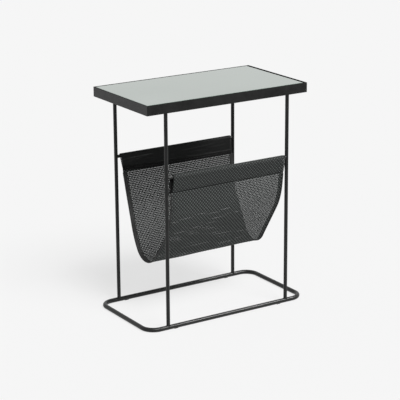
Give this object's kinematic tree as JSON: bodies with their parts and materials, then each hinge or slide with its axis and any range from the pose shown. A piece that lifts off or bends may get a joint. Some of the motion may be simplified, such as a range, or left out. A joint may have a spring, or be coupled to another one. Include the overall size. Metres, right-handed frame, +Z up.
{
  "type": "magazine table",
  "caption": "Small rectangular side table: a glass pane flush in a steel rim, rod legs on a bent base loop, and a net sling under the top that holds magazines.",
  "frame": {"origin": "on the floor, under the middle of the table", "axes": "+X along the table, +Y from front to back, +Z up"},
  "size_m": [0.461, 0.25, 0.556],
  "materials": {
    "black_steel": "satin powder coat",
    "pane_glass": "back-painted, opaque, polished",
    "clear_bumper": "clear silicone",
    "black_glide": "matt",
    "black_net": "open knitted net",
    "black_tape": "woven tape"
  },
  "bodies": {
    "frame": {"rim_front": "black_steel", "rim_right": "black_steel", "rim_back": "black_steel", "rim_left": "black_steel", "ledge_front": "black_steel", "ledge_back": "black_steel", "ledge_left": "black_steel", "ledge_right": "black_steel", "leg_front_left": "black_steel", "leg_front_right": "black_steel", "leg_back_left": "black_steel", "leg_back_right": "black_steel", "base_loop": "black_steel", "rail_front": "black_steel", "rail_back": "black_steel", "pane_pads": "clear_bumper", "floor_glides": "black_glide", "sling_cloth": "black_net", "binding_left": "black_tape", "binding_right": "black_tape"},
    "pane": {"glass_pane": "pane_glass"}
  },
  "joints": [
    {"name": "pane_lift", "type": "slide", "parent": "frame", "child": "pane", "axis": [0, 0, 1], "range_m": [0, 0.1]}
  ]
}
